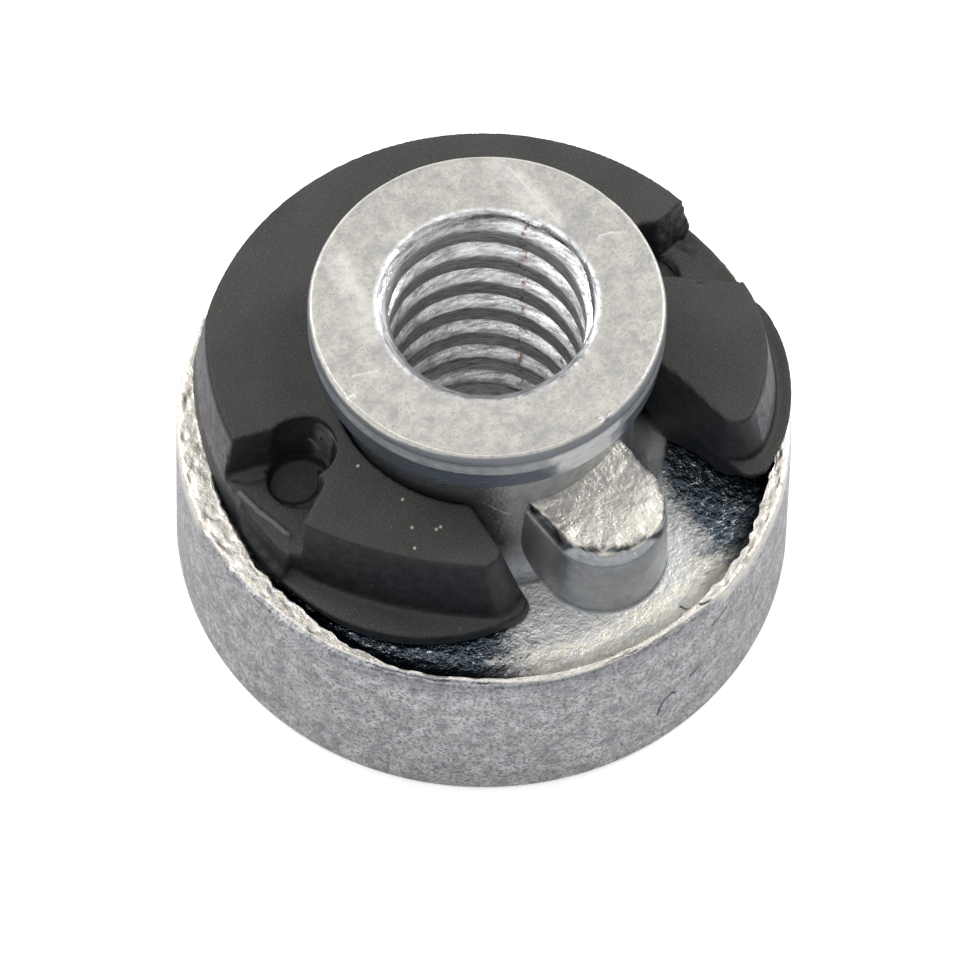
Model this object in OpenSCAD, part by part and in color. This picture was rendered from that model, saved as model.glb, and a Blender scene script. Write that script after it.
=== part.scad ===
// Seat mount nut: a die-cast threaded nut with a stepped base, a dished seat, a necked
// collar and one locating lug, carrying a C-shaped moulded retainer that grips a sheet
// panel against the underside of the collar. Units are millimetres. The origin is the
// centre of the flat underside, +Z runs up the threaded bore and the lug points along -Y.
// Angles are in degrees about +Z, from +X, anticlockwise.

/* [Base] */
// Radius of the base at its flat underside
foot_r = 8.34; // [8.24:0.02:8.8]
// Radius of the base at its rim
rim_r = 8.2; // [8.04:0.02:8.24]
// Height of the rim above the underside
rim_h = 5.4; // [4.4:0.1:7]
// Width of the flat land on top of the rim
rim_w = 0.6; // [0.35:0.05:0.65]
// Depth of the dish below the rim
dish_depth = 0.62; // [0.5:0.02:0.8]
// Width of the curve from the dish floor up to the rim
dish_curve_w = 0.45; // [0.3:0.05:0.6]
// Chamfer round the foot
foot_chamfer = 0.2; // [0.1:0.05:0.5]

/* [Neck and collar] */
// Radius of the neck under the collar
neck_r = 3.95; // [3.6:0.05:4.05]
// Radius of the fillet from the dish floor to the neck
neck_fillet_r = 0.85; // [0.5:0.05:1]
// Room for the sheet panel between the retainer and the collar
panel_gap = 1.45; // [0.8:0.05:3]
// Radius of the collar
collar_r = 4.64; // [4.4:0.02:5.4]
// Height of the collar's straight side
collar_side_h = 1.3; // [0.8:0.05:2.5]
// Height of the collar's sloping underside
collar_slope_h = 0.3; // [0.1:0.05:0.8]
// Width of the bevel round the collar's face
collar_bevel_w = 0.14; // [0.05:0.01:0.3]
// Height of the bevel round the collar's face
collar_bevel_h = 0.3; // [0.1:0.02:0.5]
// Step at the mould line, half way up the collar's side
mould_step = 0.06; // [0.02:0.01:0.12]

/* [Thread] */
// Radius of the tapped bore, at the crests of its thread
minor_r = 2.55; // [2.2:0.05:2.8]
// Width of the chamfer that leads into each end of the bore
lead_in = 0.33; // [0.15:0.03:0.45]

/* [Lug] */
// Width of the lug across its top
lug_w = 3.1; // [2.2:0.02:3.3]
// Distance from the bore's axis to the lug's rounded tip
lug_reach = 6.5; // [5.7:0.05:6.6]
// Height of the lug's top above the rim
lug_rise = 2.05; // [1.2:0.05:2.2]
// Outward slope of the lug's sides
lug_draft = 3; // [1:0.5:4]
// Spread of the flare round the lug's foot
lug_flare = 0.2; // [0.1:0.02:0.3]
// Height of the flare round the lug's foot
lug_flare_h = 0.4; // [0.2:0.05:0.6]

/* [Retainer body] */
// Height of the retainer's top above the rim
ring_rise = 2.34; // [2.26:0.02:3]
// Radius of the retainer's outer edge at its top
ring_r = 7.55; // [7.4:0.01:7.6]
// Outward slope of the retainer's outer wall
ring_draft = 10; // [6:0.5:11]
// Clearance from the retainer to the neck and to the curves of the dish
ring_clearance = 0.12; // [0.05:0.01:0.25]
// Distance from the lug's middle to the end of the left finger, beside the neck
left_end = 2.98; // [2.7:0.02:3.2]
// Distance from the lug's middle to the end of the right finger, beside the neck
right_end = 3.94; // [3.2:0.02:4.1]
// Angle by which each finger's end opens away from the lug
end_splay = 8.5; // [4:0.5:12]
// Slope of the left finger's end, away from the lug towards its top
left_end_draft = 14; // [4:1:15]
// Slope of the right finger's end, away from the lug towards its top
right_end_draft = 6; // [2:1:10]

/* [Retainer fingers] */
// Radius of the curved left flank, from the back to the left finger
left_flank_curve_r = 8.15; // [7.9:0.05:8.6]
// Depth of the left flank inside the retainer's outer edge
left_flank_inset = 0.94; // [0.8:0.02:1.1]
// Radius of the left finger's outer wall, a flat curve
left_finger_curve_r = 11.7; // [10:0.1:13]
// Depth of the left finger's outer wall inside the retainer's outer edge
left_finger_inset = 1.65; // [1.4:0.05:1.8]
// Outward slope of the left finger's outer wall
left_finger_draft = 2; // [1:0.5:4]
// Radius of the right finger's outer wall
right_finger_curve_r = 4.24; // [4.1:0.02:4.8]
// Depth of the right finger's outer wall inside the retainer's outer edge
right_finger_inset = 0.05; // [0.01:0.01:0.1]
// Rounding of the left finger's tip
left_tip_r = 0.5; // [0.3:0.05:0.7]
// Rounding of the right finger's tip
right_tip_r = 0.55; // [0.3:0.05:0.6]
// Rounding of the corner at the end of each finger's flange
flange_tip_r = 0.6; // [0.4:0.05:0.7]
// Gap from the left finger's flange to the inner edge of the rim
flange_gap = 0.38; // [0.2:0.02:0.5]
// Radius of the left finger's flange
left_flange_r = 4.85; // [4.6:0.05:5]
// Height of the left finger's flange above the dish floor
left_flange_t = 0.45; // [0.3:0.05:0.6]
// Radius of the right finger's flange
right_flange_r = 5.3; // [5.1:0.05:5.6]
// Distance that the right finger's flange reaches past the rim
right_flange_over = 0.1; // [0.02:0.02:0.12]
// Height of the right finger's flange above the rim
right_flange_t = 0.3; // [0.2:0.02:0.45]

/* [Retainer notches] */
// Depth of the two notches below the retainer's top
notch_depth = 1.64; // [1.2:0.04:1.76]
// Angle where the right notch meets the retainer's back
right_notch_back = 7; // [4:0.5:14]
// Angle where the right notch meets the right finger, level with the pocket's centre
right_notch_finger = -7.5; // [-10:0.5:-6]
// Slant of the right finger's notch wall from the radius
right_notch_slant = 36; // [28:2:40]
// Angle where the left notch meets the retainer's back
left_notch_back = 159.5; // [154:0.5:161]
// Angle where the left notch meets the left finger, level with the pocket's centre
left_notch_finger = 180.5; // [179:0.5:183]
// Slant of the left finger's notch wall from the radius
left_notch_slant = 26; // [18:2:32]
// Radius of the left pocket
left_pocket_r = 0.86; // [0.7:0.02:0.9]
// Radius of the right pocket
right_pocket_r = 0.76; // [0.6:0.02:0.85]
// Depth to which the right pocket bites into the inner wall of its notch
right_pocket_bite = 0.08; // [0.04:0.02:0.2]
// Depth of the round pockets below the retainer's top
pocket_depth = 2.14; // [1.9:0.02:2.3]
// Distance of the left pocket's centre from the bore's axis
left_pocket_reach = 5.38; // [5.3:0.02:5.5]
// Angle of the left pocket's centre
left_pocket_at = 167; // [165:0.5:168.5]
// Distance of the right pocket's centre from the bore's axis
right_pocket_reach = 5.86; // [5.6:0.02:6.1]
// Angle of the right pocket's centre
right_pocket_at = 3; // [0:0.5:5]

/* [Hidden] */

round_fn = 96;
fillet_steps = 6;
over = 1;                // how far a cutter runs past what it cuts
slice_step = 60;         // the widest angle that one side of a slice spans
bare = 20;               // the angle either side of the lug that the ring never reaches
notch_spare = 20;        // how far each notch is swept on before its finger ends it
end_trim = 0.02;         // how far the end faces cut into the rounded tips
far_corner = 6;          // how many tip radii a corner's cutter spans
clear_r = 2 * rim_r;     // a radius that clears the whole retainer
lug_at = -90;            // the lug's direction
left_flank_at = 201;     // the middle of the left flank's curve
left_finger_at = 226;    // the middle of the left finger's curve
left_finger_from = 184;  // where the left finger's curve takes over from the flank's
left_flange_at = 189.5;  // the middle of the left flange's curve
right_finger_at = -25.7; // the middle of the right finger's curve
right_finger_from = -14; // where the right finger's curve takes over from the back's
right_flange_at = -22.4; // the middle of the right flange's curve

dish_z = rim_h - dish_depth;
rim_in_r = rim_r - rim_w;
dish_floor_r = rim_in_r - dish_curve_w;
ring_top = rim_h + ring_rise;
collar_under = ring_top + panel_gap;
collar_low = collar_under + collar_slope_h;
collar_high = collar_low + collar_side_h;
mould_line = (collar_low + collar_high) / 2;
face_z = collar_high + collar_bevel_h;

lug_top = rim_h + lug_rise;
lug_tip_r = lug_w / 2;
lug_tip_at = lug_reach - lug_tip_r;

ring_in_r = neck_r + ring_clearance;
ring_foot_r = ring_r + ring_rise * tan(ring_draft);
end_deep = 2 * (ring_top - dish_z);
notch_z = ring_top - notch_depth;
right_notch_in_r = right_pocket_reach - right_pocket_r + right_pocket_bite;
left_flange_z = dish_z + left_flange_t;
right_flange_z = rim_h + right_flange_t;

// A point at a distance and an angle from the bore's axis
function polar(r, a) = [r * cos(a), r * sin(a)];

// Points along an elliptical arc about a centre
function arc(c, rx, ry, from, to) = [
    for (i = [0 : fillet_steps])
        let (a = from + (to - from) * i / fillet_steps)
        [c[0] + rx * cos(a), c[1] + ry * sin(a)]
];

// The point where a line from p along d leaves the circle of radius r about c
function leaves_circle(p, d, c, r) =
    let (m = p - c, along = m * d)
    p + d * (sqrt(along * along - m * m + r * r) - along);

// A pie slice of the plane between two angles, to cut parts to a stretch of the ring
module slice(from, to, z0, z1) {
    steps = ceil((to - from) / slice_step);
    rim = [for (i = [0 : steps]) polar(clear_r, from + (to - from) * i / steps)];
    translate([0, 0, z0]) linear_extrude(z1 - z0) polygon(concat([[0, 0]], rim));
}

// ---- Cast nut ----

// Half section of the casting: bore, foot, rim, dish, neck and collar
function nut_section() = concat(
    [
        [minor_r, lead_in], [minor_r + lead_in, 0],
        [foot_r - foot_chamfer, 0], [foot_r, foot_chamfer],
        [rim_r, rim_h]
    ],
    arc([dish_floor_r, rim_h], dish_curve_w, dish_depth, 0, -90),
    arc([neck_r + neck_fillet_r, dish_z + neck_fillet_r], neck_fillet_r, neck_fillet_r, -90, -180),
    [
        [neck_r, collar_under],
        [collar_r - mould_step, collar_low], [collar_r - mould_step, mould_line],
        [collar_r, mould_line], [collar_r, collar_high],
        [collar_r - collar_bevel_w, face_z],
        [minor_r + lead_in, face_z], [minor_r, face_z - lead_in]
    ]
);

// Rounded rib along the lug's direction, with drafted sides and a drafted round tip
module rib(top_half_w, foot_half_w, z0, z1) {
    rotate([0, 0, lug_at]) {
        translate([lug_tip_at, 0, z0]) cylinder(z1 - z0, foot_half_w, top_half_w, $fn = round_fn);
        rotate([90, 0, 90]) linear_extrude(lug_tip_at)
            polygon([[-foot_half_w, z0], [foot_half_w, z0], [top_half_w, z1], [-top_half_w, z1]]);
    }
}

module lug() {
    low = dish_z - over;
    side = tan(lug_draft);
    difference() {
        union() {
            rib(lug_tip_r, lug_tip_r + (lug_top - low) * side, low, lug_top);
            foot_w = lug_tip_r + (lug_top - dish_z) * side + lug_flare;
            rib(foot_w - lug_flare, foot_w, dish_z, dish_z + lug_flare_h);
        }
        translate([0, 0, low - over]) cylinder(lug_top, r = (minor_r + neck_r) / 2, $fn = round_fn);
    }
}

module cast_nut() {
    color([0.72, 0.72, 0.70]) union() {
        rotate_extrude($fn = round_fn) polygon(nut_section());
        lug();
    }
}

// ---- Retainer ring ----

// Half section of the retainer: it stands on the dish floor, clears the fillets on both
// sides, laps over the rim and narrows towards its top
function ring_section() = [
    [ring_in_r, ring_top],
    [ring_in_r, dish_z + neck_fillet_r + ring_clearance],
    [neck_r + neck_fillet_r + ring_clearance, dish_z],
    [dish_floor_r - ring_clearance, dish_z],
    [rim_in_r - ring_clearance, rim_h],
    [ring_foot_r, rim_h],
    [ring_r, ring_top]
];

// A stretch of the plain ring between two angles
module ring_stretch(from, to) {
    rotate_extrude(start = from, angle = to - from, $fn = round_fn) polygon(ring_section());
}

// A round column whose wall touches a distance at an angle, with its radius at the ring's
// top and its slope: it trims a flank or a finger to its outer curve
module column(at, reach, r, draft) {
    below = ring_top - dish_z + over;
    translate(concat(polar(reach - r, at), ring_top - below))
        cylinder(below + over, r + below * tan(draft), r - over * tan(draft), $fn = round_fn);
}

// Everything in a slice of the ring that lies outside a column
module outside_column(from, to, at, reach, r, draft) {
    difference() {
        slice(from, to, dish_z - over, ring_top + over);
        column(at, reach, r, draft);
    }
}

// Distance from the lug's middle to a sloping end face at a height, beside the neck
function end_at(end, draft, z) = end - (ring_top - z) * tan(draft) / cos(end_splay);

// Frame of a finger's end at a height: x runs from the end face towards the lug, -y runs
// outwards along the end face. It is drawn for the left finger; the right one's is mirrored
module at_end(end, draft, z) {
    translate([-end_at(end, draft, z), -neck_r, z]) rotate([0, 0, -end_splay]) children();
}

// Everything past a finger's splayed and sloping end face
module past_end(end, draft) {
    at_end(end, draft, ring_top) rotate([0, -draft, 0])
        translate([-end_trim, -clear_r, -end_deep]) cube([end, clear_r + neck_r / 2, end_deep + over]);
}

// The corner outside the rounded tip between an end face and a curved wall, where z is the
// height at which the wall has the radius wall_r, and wall_draft is its outward slope. The
// tip widens downwards, as a cone that touches the end face and the wall at every height
module past_tip(end, draft, z, wall_at, wall_reach, wall_r, wall_draft, tip_r) {
    start = [-end_at(end, draft, z), -neck_r];
    along = [-sin(end_splay), -cos(end_splay)];
    inward = [-cos(end_splay), sin(end_splay)];
    wall_c = polar(wall_reach - wall_r, wall_at);
    tip = leaves_circle(start + tip_r * inward, along, wall_c, wall_r - tip_r);
    outward = (tip - wall_c) / norm(tip - wall_c);
    turn = outward * inward;
    widen = (tan(wall_draft) + tan(draft) * turn) / (1 + turn);
    front = far_corner * tip_r * [1, 0];
    side = far_corner * tip_r * [-turn, -outward * along];
    low_r = tip_r + end_trim + (end_deep + over) * widen;
    cone_h = end_deep + 3 * over;
    at_end(end, draft, z) translate([-tip_r, -(tip - start) * along, 0])
        rotate([0, -atan(tan(draft) - widen), 0]) translate([0, 0, -end_deep]) difference() {
            linear_extrude(end_deep + over) polygon([[0, 0], front, front + side, side]);
            translate([0, 0, -over]) cylinder(cone_h, low_r, low_r - cone_h * widen, $fn = round_fn);
        }
}

// The ring from finger to finger, trimmed to the curves of its flank and its fingers
module ring_body() {
    difference() {
        ring_stretch(lug_at + bare, lug_at + 360 - bare);
        outside_column(lug_at + 180, left_finger_from, left_flank_at,
            ring_r - left_flank_inset, left_flank_curve_r, ring_draft);
        outside_column(left_finger_from, lug_at + 360, left_finger_at,
            ring_r - left_finger_inset, left_finger_curve_r, left_finger_draft);
        outside_column(lug_at, right_finger_from, right_finger_at,
            ring_r - right_finger_inset, right_finger_curve_r, ring_draft);
        past_tip(left_end, left_end_draft, ring_top, left_finger_at, ring_r - left_finger_inset,
            left_finger_curve_r, left_finger_draft, left_tip_r);
        mirror([1, 0, 0]) past_tip(right_end, right_end_draft, ring_top, 180 - right_finger_at,
            ring_r - right_finger_inset, right_finger_curve_r, ring_draft, right_tip_r);
    }
}

// Thin foot beside the left finger, inside the rim
module left_flange() {
    reach = rim_in_r - flange_gap;
    difference() {
        intersection() {
            ring_stretch(left_notch_back, lug_at + 360 - bare);
            translate(concat(polar(reach - left_flange_r, left_flange_at), dish_z - over))
                cylinder(left_flange_t + over, r = left_flange_r, $fn = round_fn);
        }
        past_tip(left_end, left_end_draft, left_flange_z, left_flange_at, reach, left_flange_r,
            0, flange_tip_r);
    }
}

// Thin foot beside the right finger, lapping over the rim
module right_flange() {
    reach = rim_r + right_flange_over;
    difference() {
        intersection() {
            slice(lug_at + bare, right_notch_back, rim_h, right_flange_z);
            translate(concat(polar(reach - right_flange_r, right_flange_at), rim_h - over))
                cylinder(right_flange_t + 2 * over, r = right_flange_r, $fn = round_fn);
        }
        cylinder(ring_top, r = (ring_in_r + ring_r) / 2, $fn = round_fn);
        mirror([1, 0, 0]) past_tip(right_end, right_end_draft, right_flange_z,
            180 - right_flange_at, reach, right_flange_r, 0, flange_tip_r);
    }
}

// A notch cut down from the ring's top, outside a radius
module notch(from, to, inside_r) {
    difference() {
        slice(from, to, notch_z, ring_top + over);
        translate([0, 0, notch_z - over]) cylinder(notch_depth + 3 * over, r = inside_r, $fn = round_fn);
    }
}

// Everything past a finger's notch wall, which leaves the radius at a slant
module finger_side(reach, at, slant) {
    translate(concat(polar(reach, at), notch_z - over)) rotate([0, 0, at + slant])
        translate([-clear_r, 0, 0]) cube([2 * clear_r, clear_r, notch_depth + 3 * over]);
}

module pocket(reach, at, pocket_r) {
    translate(concat(polar(reach, at), ring_top - pocket_depth))
        cylinder(pocket_depth + over, r = pocket_r, $fn = round_fn);
}

module left_notch() {
    difference() {
        notch(left_notch_back, left_notch_finger + notch_spare, left_pocket_reach);
        finger_side(left_pocket_reach, left_notch_finger, left_notch_slant);
    }
    pocket(left_pocket_reach, left_pocket_at, left_pocket_r);
}

module right_notch() {
    notch(right_pocket_at, right_notch_back, right_pocket_reach);
    difference() {
        notch(right_notch_finger - notch_spare, right_pocket_at, right_notch_in_r);
        mirror([0, 1, 0]) finger_side(right_pocket_reach, -right_notch_finger, right_notch_slant);
    }
    pocket(right_pocket_reach, right_pocket_at, right_pocket_r);
}

module retainer_ring() {
    color([0.12, 0.12, 0.12]) difference() {
        union() {
            ring_body();
            left_flange();
            right_flange();
        }
        past_end(left_end, left_end_draft);
        mirror([1, 0, 0]) past_end(right_end, right_end_draft);
        left_notch();
        right_notch();
    }
}

cast_nut();
retainer_ring();
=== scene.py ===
"""Dresses the seat nut: a zinc casting with a helical thread and a worn lug, and its black retainer.

Shapes are worked out in millimetres, with the bore's axis as z and the foot at z = 0, and are
turned into metres when a mesh is made. Angles are degrees about the axis, and the lug is at -90.
"""
import math

import bmesh
import bpy
import numpy as np
from mathutils import Matrix, Vector


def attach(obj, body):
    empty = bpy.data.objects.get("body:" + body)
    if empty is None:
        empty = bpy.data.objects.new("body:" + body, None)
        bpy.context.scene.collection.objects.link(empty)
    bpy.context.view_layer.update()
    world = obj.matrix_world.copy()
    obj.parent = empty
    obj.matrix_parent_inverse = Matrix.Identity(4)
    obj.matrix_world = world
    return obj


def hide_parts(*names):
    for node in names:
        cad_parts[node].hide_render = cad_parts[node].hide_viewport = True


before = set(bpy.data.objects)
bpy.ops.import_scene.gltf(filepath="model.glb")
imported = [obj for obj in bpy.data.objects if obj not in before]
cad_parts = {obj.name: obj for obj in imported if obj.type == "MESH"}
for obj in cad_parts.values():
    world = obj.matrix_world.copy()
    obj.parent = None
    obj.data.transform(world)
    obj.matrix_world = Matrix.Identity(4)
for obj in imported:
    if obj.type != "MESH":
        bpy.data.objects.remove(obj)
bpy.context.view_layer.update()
MM = 0.001

# ---- Sizes of the casting ----
FOOT_R, RIM_R, RIM_H, RIM_IN_R = 8.33, 8.19, 5.4, 7.6
FOOT_CHAMFER, RIM_EDGE = 0.2, 0.14
DISH_Z, DISH_FLOOR_R = 4.78, 7.15
NECK_R, NECK_FILLET_R = 3.95, 0.85
COLLAR_R, COLLAR_UNDER, COLLAR_LOW, MOULD_LINE, COLLAR_HIGH = 4.64, 9.19, 9.49, 10.14, 10.77
MOULD_STEP, COLLAR_BEVEL, FACE_Z = 0.06, 0.14, 11.06
PITCH, CREST_R, ROOT_R, LEAD_IN = 1.27, 2.55, 3.0, 0.33
LUG_HALF_W, LUG_REACH, LUG_TOP, LUG_BACK, LUG_FILLET = 1.55, 6.5, 7.45, 3.35, 0.05

# ---- Sizes of the retainer ----
RING_TOP, RING_NOTCH_Z, RING_POCKET_Z = 7.74, 6.1, 5.6
LEFT_POCKET_AT, LEFT_POCKET_R = (5.38, 167.0), 0.86
RIGHT_POCKET_AT, RIGHT_POCKET_R = (5.86, 3.0), 0.84
RIGHT_NOTCH_AT = 0.0
RING_CELL = 0.072

OUTER_COLUMNS, BORE_COLUMNS = 480, 240
SEAM_AT = 30


# ---- Shaping functions ----
def smooth(low, high, x):
    """t = clip((x - low) / (high - low), 0, 1), then t^2 (3 - 2 t)."""
    t = np.clip((x - low) / (high - low), 0, 1)
    return t * t * (3 - 2 * t)


def bell(x, centre, half):
    """1 at the centre, falling smoothly to 0 at a distance of half."""
    return 1 - smooth(0, half, np.abs(x - centre))


def turn_from(angle, centre):
    """The signed difference of two angles in degrees, from -180 to 180."""
    return (angle - centre + 180) % 360 - 180


def noise(points, cell, seed=0):
    """Value noise from -1 to 1: hashed values at the corners of each point's cell, blended
    by smoothstep weights along the three axes."""
    scaled = points / cell
    base = np.floor(scaled)
    part = scaled - base
    part = part * part * (3 - 2 * part)
    base = base.astype(np.int64)
    total = 0
    for corner in range(8):
        step = np.array([corner & 1, corner >> 1 & 1, corner >> 2 & 1])
        cell_at = base + step
        mixed = cell_at[..., 0] * 73856093 ^ cell_at[..., 1] * 19349663 ^ cell_at[..., 2] * 83492791
        mixed = (mixed + seed * 40503) & 0xFFFFFFF
        mixed = (mixed ^ mixed >> 13) * 127412617 & 0xFFFFFFF
        value = (mixed ^ mixed >> 12 & 0xFFFF) % 65536 / 32767.5 - 1
        total = total + value * np.prod(np.where(step, part, 1 - part), axis=-1)
    return total


def rough_noise(points, cell, seed=0):
    """Three octaves of value noise, each half the size and 0.55 of the height of the last."""
    return sum(0.55 ** k * noise(points, cell / 2 ** k, seed + 7 * k) for k in range(3))


def on_axis(radius, angle, height):
    """Points at a radius and an angle about the axis: (r cos a, r sin a, z)."""
    a = np.radians(angle)
    return np.stack(np.broadcast_arrays(radius * np.cos(a), radius * np.sin(a), height), -1)


def along(angle, places):
    """A value that runs straight from one (angle, value) place to the next."""
    return np.interp(turn_from(angle, 0), *zip(*places))


def stroke(*places):
    """A line through (radius, angle, height) places."""
    return [on_axis(*place) for place in places]


def steps(start, end, count):
    """Rows from start up to but not including end, evenly spaced along a line."""
    t = np.arange(count)[:, None] / count
    return np.array(start) + t * (np.array(end) - np.array(start))


def bend(centre, rx, ry, start, end, count):
    """Rows along an elliptical arc: c + (rx cos a, ry sin a), without the last one."""
    a = np.radians(start + (end - start) * np.arange(count) / count)
    return np.stack([centre[0] + rx * np.cos(a), centre[1] + ry * np.sin(a)], -1)


def band_faces(rows, columns, first=0, outward=True):
    """Quads between neighbouring rows of closed rings that follow each other in the points."""
    i, j = np.meshgrid(np.arange(rows - 1), np.arange(columns), indexing="ij")
    k = (j + 1) % columns
    corners = [i * columns + j, i * columns + k, (i + 1) * columns + k, (i + 1) * columns + j]
    quads = np.stack(corners, -1).reshape(-1, 4) + first
    return quads if outward else quads[:, ::-1]


def join_faces(fine_first, coarse_first, columns, upward):
    """Triangles that join a ring of 2n points to a ring of n points, three to each coarse step."""
    j = np.arange(columns)
    k = (j + 1) % columns
    fine = [fine_first + 2 * j, fine_first + 2 * j + 1, fine_first + 2 * k]
    coarse = [coarse_first + j, coarse_first + k]
    faces = np.concatenate([
        np.stack([fine[0], fine[1], coarse[0]], -1),
        np.stack([coarse[0], fine[1], coarse[1]], -1),
        np.stack([fine[1], fine[2], coarse[1]], -1),
    ])
    return faces if upward else faces[:, ::-1]


def make_object(name, points, quads, triangles, marks):
    """A smooth, welded mesh object from points in mm, its faces and values kept per vertex."""
    mesh = bpy.data.meshes.new(name)
    mesh.vertices.add(len(points))
    mesh.vertices.foreach_set("co", (points * MM).astype(np.float32).ravel())
    sizes = np.r_[np.full(len(quads), 4), np.full(len(triangles), 3)]
    corners = np.r_[quads.ravel(), triangles.ravel()]
    mesh.loops.add(len(corners))
    mesh.loops.foreach_set("vertex_index", corners.astype(np.int32))
    mesh.polygons.add(len(sizes))
    mesh.polygons.foreach_set("loop_start", np.r_[0, np.cumsum(sizes)[:-1]].astype(np.int32))
    mesh.update(calc_edges=True)
    for mark, values in marks.items():
        mesh.attributes.new(mark, "FLOAT", "POINT").data.foreach_set("value", values.astype(np.float32))
    welded = bmesh.new()
    welded.from_mesh(mesh)
    bmesh.ops.remove_doubles(welded, verts=welded.verts, dist=1e-4 * MM)
    bmesh.ops.dissolve_degenerate(welded, edges=welded.edges, dist=1e-5 * MM)
    welded.to_mesh(mesh)
    welded.free()
    mesh.polygons.foreach_set("use_smooth", np.ones(len(mesh.polygons), bool))
    piece = bpy.data.objects.new(name, mesh)
    bpy.context.collection.objects.link(piece)
    return piece


# ---- Casting ----
RIM_INNER_EDGE = [
    # angle, radius
    (-180, 7.5), (-168, 7.5), (-158, 7.76), (-145, 7.86), (-115, 7.93), (-92, 7.9),
    (-70, 7.86), (-45, 7.66), (0, 7.6), (100, 7.6), (162, 7.42), (180, 7.5),
]


def casting_section():
    """Rows (r, z) of the half section from the bore's foot round to the bore's mouth, with
    how far each row follows the rim's inner edge and which zone it lies in."""
    parts = [
        ("foot", 0, steps((3.05, 0), (FOOT_R - FOOT_CHAMFER, 0), 3)),
        ("side", 0, bend((FOOT_R - FOOT_CHAMFER, FOOT_CHAMFER), FOOT_CHAMFER, FOOT_CHAMFER, -90, 0, 4)),
        ("side", 0, steps((FOOT_R, FOOT_CHAMFER), (RIM_R, RIM_H - RIM_EDGE), 10)),
        ("rim", 0, bend((RIM_R - RIM_EDGE, RIM_H - RIM_EDGE), RIM_EDGE, RIM_EDGE, 0, 90, 4)),
        ("rim", 1, steps((RIM_R - RIM_EDGE, RIM_H), (RIM_IN_R, RIM_H), 10)),
        ("wall", 2, bend((DISH_FLOOR_R, RIM_H), RIM_IN_R - DISH_FLOOR_R, RIM_H - DISH_Z, 0, -90, 9)),
        ("dish", 0, steps((DISH_FLOOR_R, DISH_Z), (NECK_R + NECK_FILLET_R, DISH_Z), 24)),
        ("neck", 0, bend((NECK_R + NECK_FILLET_R, DISH_Z + NECK_FILLET_R),
                         NECK_FILLET_R, NECK_FILLET_R, -90, -180, 8)),
        ("neck", 0, steps((NECK_R, DISH_Z + NECK_FILLET_R), (NECK_R, COLLAR_UNDER), 6)),
        ("collar", 0, steps((NECK_R, COLLAR_UNDER), (COLLAR_R - MOULD_STEP - 0.08, COLLAR_LOW - 0.02), 3)),
        ("collar", 0, bend((COLLAR_R - MOULD_STEP - 0.08, COLLAR_LOW + 0.06), 0.08, 0.08, -70, 0, 3)),
        ("collar", 0, steps((COLLAR_R - MOULD_STEP, COLLAR_LOW + 0.06),
                            (COLLAR_R - MOULD_STEP, MOULD_LINE), 6)),
        ("collar", 0, steps((COLLAR_R - MOULD_STEP, MOULD_LINE), (COLLAR_R, MOULD_LINE + 0.05), 2)),
        ("collar", 0, steps((COLLAR_R, MOULD_LINE + 0.05), (COLLAR_R, COLLAR_HIGH), 7)),
        ("edge", 0, bend((COLLAR_R - COLLAR_BEVEL, COLLAR_HIGH),
                         COLLAR_BEVEL, FACE_Z - COLLAR_HIGH, 0, 90, 6)),
        ("face", 0, steps((COLLAR_R - COLLAR_BEVEL, FACE_Z), (3.0, FACE_Z), 14)),
        ("face", 0, np.array([[3.0, FACE_Z]])),
    ]
    rows = np.concatenate([p[2] for p in parts])
    zones = np.concatenate([[p[0]] * len(p[2]) for p in parts])
    follow = np.concatenate([
        np.arange(len(p[2])) / len(p[2]) if p[1] == 1
        else np.cos(np.radians(90 * np.arange(len(p[2])) / len(p[2]))) if p[1] == 2
        else np.zeros(len(p[2]))
        for p in parts])
    return rows, follow, zones


def casting_outside():
    """The section carried round the axis: r = r_k + f_k (edge(a) - RIM_IN_R), worn by noise at
    the rim, the collar's edge and the face."""
    rows, follow, zones = casting_section()
    angle = 360 * np.arange(OUTER_COLUMNS) / OUTER_COLUMNS
    radius = rows[:, :1] + follow[:, None] * (along(angle, RIM_INNER_EDGE) - RIM_IN_R)
    height = np.repeat(rows[:, 1:], OUTER_COLUMNS, 1)
    points = on_axis(radius, angle[None, :], height)
    fine = rough_noise(points, 0.3, 3)
    coarse = rough_noise(points, 1.3, 11)
    rim = (zones == "rim")[:, None]
    wall = (zones == "wall")[:, None]
    edge = (zones == "edge")[:, None]
    # The rim's inner edge is ragged, its top is pitted and its outer edge is knocked about.
    calm = 1 - 0.7 * bell(turn_from(angle, -122), 0, 45)
    radius = radius + follow[:, None] * calm * (0.08 * fine + 0.05 * coarse)
    height = height - rim * calm * (0.03 * np.abs(fine) + 0.06 * smooth(0.4, 1.0, fine))
    radius = radius - rim * (follow[:, None] < 0.1) * 0.03 * np.abs(coarse)
    height = height + wall * 0.03 * fine
    # The collar's edge is uneven, with a nick on the left and a step at the lug's side.
    radius = radius + edge * 0.012 * coarse
    nick = bell(turn_from(angle, 179), 0, 3.5)
    jog = bell(turn_from(angle, -87), 0, 2.5)
    top_edge = bell(height, FACE_Z, 0.3) * bell(radius, COLLAR_R - 0.12, 0.3)
    height = height - top_edge * (0.1 * nick + 0.06 * jog)
    # The scratches cross the face as shallow grooves, and the parting marks stand up from it.
    face = (zones == "face")[:, None]
    height = height - face * 0.012 * np.maximum(coarse, 0)
    points = on_axis(radius, angle[None, :], height)
    for start, end, width, depth in FACE_SCRATCHES:
        height = height - face * depth * near_line(points, start, end, width)
    return on_axis(radius, angle[None, :], np.minimum(height, FACE_Z + 0.02)), zones


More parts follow.
